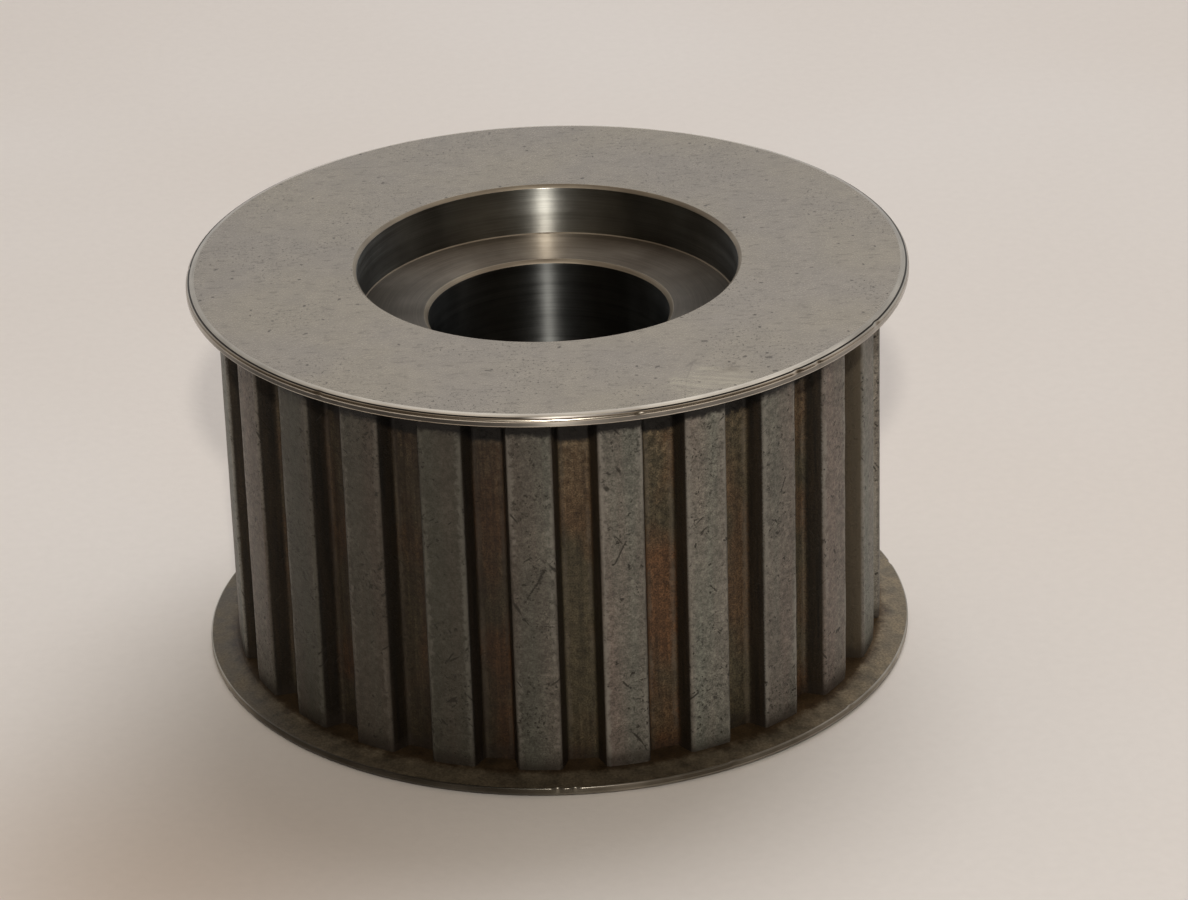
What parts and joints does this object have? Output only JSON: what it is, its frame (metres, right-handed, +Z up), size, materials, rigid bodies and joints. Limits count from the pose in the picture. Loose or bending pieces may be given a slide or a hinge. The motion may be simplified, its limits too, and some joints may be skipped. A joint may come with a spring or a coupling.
{
  "type": "timing belt pulley",
  "caption": "Steel timing belt pulley with trapezoidal teeth between two flange rings, a recessed hub face and a plain through bore.",
  "frame": {"origin": "centre of the lower face, where the pulley rests", "axes": "+Z up along the bore; +X through the middle of a groove between two teeth"},
  "size_m": [0.104, 0.104, 0.059],
  "materials": {
    "body_steel": "turned and ground, with worn, stained teeth",
    "flange_steel": "turned and ground satin"
  },
  "bodies": {
    "root": {"toothed_body": "body_steel", "upper_flange": "flange_steel", "lower_flange": "flange_steel"}
  },
  "joints": []
}
